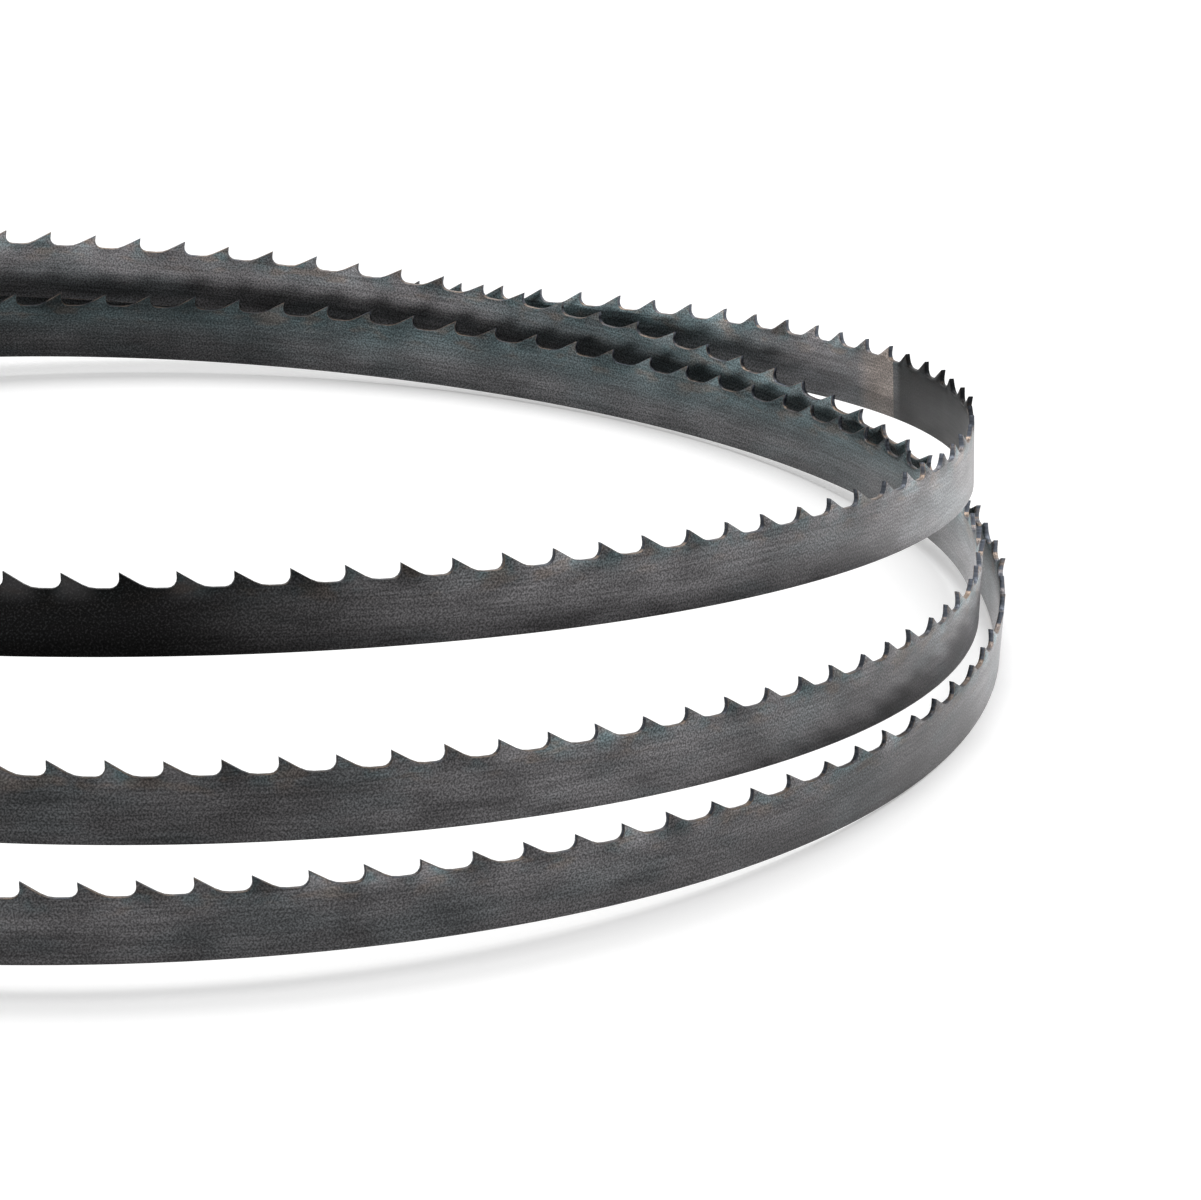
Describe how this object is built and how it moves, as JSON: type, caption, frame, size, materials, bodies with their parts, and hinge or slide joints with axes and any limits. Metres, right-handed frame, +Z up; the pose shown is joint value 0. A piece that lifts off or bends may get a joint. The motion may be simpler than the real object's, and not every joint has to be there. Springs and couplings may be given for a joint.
{
  "type": "band saw blade",
  "caption": "Closed steel band saw blade with hooked teeth, coiled in three turns and lying on its back edge with the teeth up.",
  "frame": {"origin": "on the surface that the coil lies on, under the middle of its bounding box", "axes": "+Z up, the way the teeth point; -Y toward the viewer of the picture, +X to the viewer's right"},
  "size_m": [0.2292, 0.2284, 0.0432],
  "materials": {
    "blade_steel": "blackened spring steel with faint lengthwise rolling marks, satin"
  },
  "bodies": {
    "root": {"saw_band": "blade_steel"}
  },
  "joints": []
}
